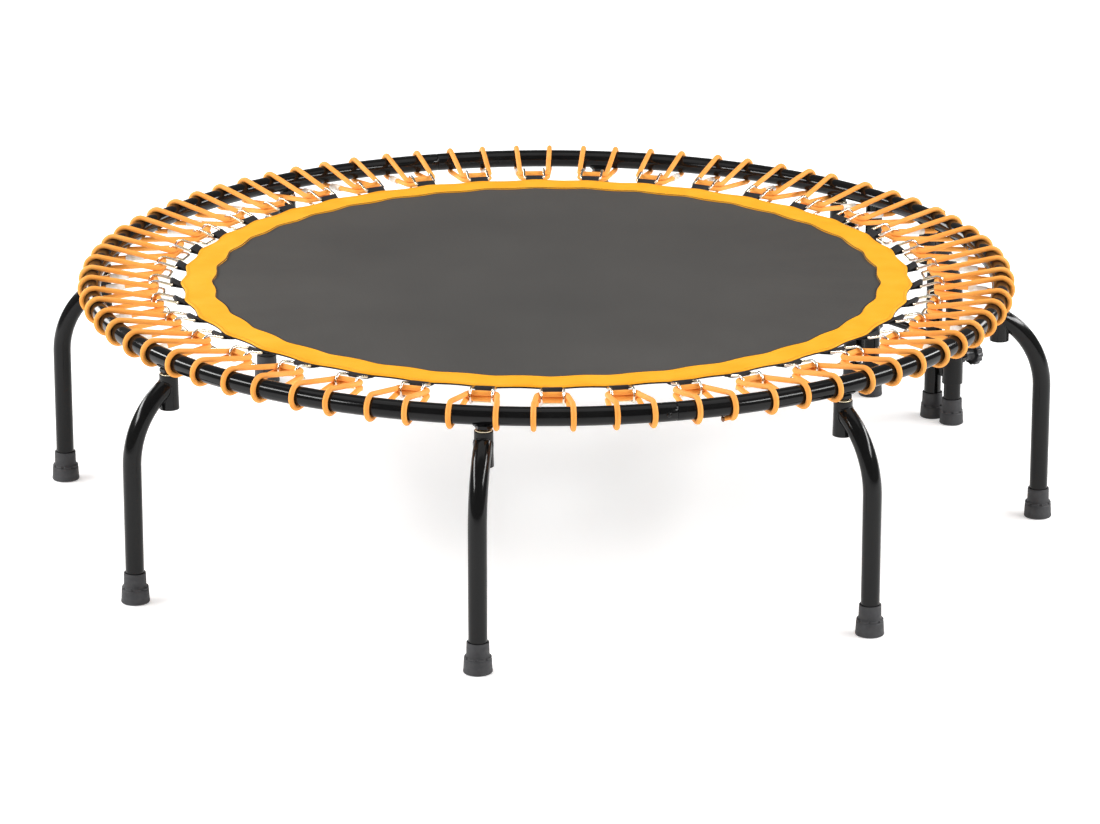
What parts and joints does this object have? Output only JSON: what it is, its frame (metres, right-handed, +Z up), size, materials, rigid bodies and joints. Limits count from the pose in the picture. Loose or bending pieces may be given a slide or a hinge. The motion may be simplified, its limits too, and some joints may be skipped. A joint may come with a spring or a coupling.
{
  "type": "mini trampoline",
  "caption": "Round mini trampoline with a woven mat hung on bungee loops in a tubular ring, arched legs with rubber feet, and a clamped handlebar base.",
  "frame": {"origin": "on the floor under the centre of the ring", "axes": "+Z up, -Y towards the front, the handlebar base at the back right (+X +Y)"},
  "size_m": [1.3926, 1.3922, 0.3428],
  "materials": {
    "black_steel": "gloss black powder coat",
    "zinc": "bright zinc plate",
    "rubber": "matte moulded rubber",
    "black_plastic": "satin moulded plastic",
    "woven_mat": "tightly woven polypropylene",
    "orange_webbing": "matte woven webbing",
    "black_webbing": "matte woven webbing",
    "orange_cord": "braided elastic cord"
  },
  "bodies": {
    "frame": {"ring_section_1": "black_steel", "ring_section_2": "black_steel", "ring_section_3": "black_steel", "ring_section_4": "black_steel", "snap_button_1": "black_steel", "snap_button_2": "black_steel", "snap_button_3": "black_steel", "snap_button_4": "black_steel", "leg_1": "black_steel", "leg_2": "black_steel", "leg_3": "black_steel", "leg_4": "black_steel", "leg_5": "black_steel", "leg_6": "black_steel", "leg_7": "black_steel", "leg_8": "black_steel", "leg_9": "black_steel", "leg_stud_1": "zinc", "leg_stud_2": "zinc", "leg_stud_3": "zinc", "leg_stud_4": "zinc", "leg_stud_5": "zinc", "leg_stud_6": "zinc", "leg_stud_7": "zinc", "leg_stud_8": "zinc", "leg_stud_9": "zinc", "leg_foot_1": "rubber", "leg_foot_2": "rubber", "leg_foot_3": "rubber", "leg_foot_4": "rubber", "leg_foot_5": "rubber", "leg_foot_6": "rubber", "leg_foot_7": "rubber", "leg_foot_8": "rubber", "leg_foot_9": "rubber", "upright_1": "black_steel", "upright_plug_1": "black_plastic", "upright_foot_1": "rubber", "leg_clamp_1": "black_steel", "upright_2": "black_steel", "upright_plug_2": "black_plastic", "upright_foot_2": "rubber", "leg_clamp_2": "black_steel", "crossbar": "black_steel", "bungee_set_1": "orange_cord", "bungee_set_2": "orange_cord", "bungee_set_3": "orange_cord", "bungee_set_4": "orange_cord", "bungee_set_5": "orange_cord", "bungee_set_6": "orange_cord", "bungee_set_7": "orange_cord", "bungee_set_8": "orange_cord"},
    "mat": {"mat": "woven_mat", "mat_border": "orange_webbing", "tab_ring": "black_webbing", "hook_ring": "zinc"},
    "knob_1": {"star_knob_1": "black_plastic"},
    "knob_2": {"star_knob_2": "black_plastic"}
  },
  "joints": [
    {"name": "mat_bounce", "type": "slide", "parent": "frame", "child": "mat", "axis": [0, 0, 1], "range_m": [-0.15, 0.02], "stiffness_N_per_m": 6000, "springref_m": 0.003, "deforming": ["bungee_set_1", "bungee_set_2", "bungee_set_3", "bungee_set_4", "bungee_set_5", "bungee_set_6", "bungee_set_7", "bungee_set_8"]},
    {"name": "knob_1_turn", "type": "hinge", "parent": "frame", "child": "knob_1", "pos_m": [0.5902, 0.33999, 0.098], "axis": [0.7771, 0.6293, 0], "range_deg": [-360, 0]},
    {"name": "knob_2_turn", "type": "hinge", "parent": "frame", "child": "knob_2", "pos_m": [0.45625, 0.50573, 0.098], "axis": [0.7771, 0.6293, 0], "range_deg": [-360, 0]}
  ]
}
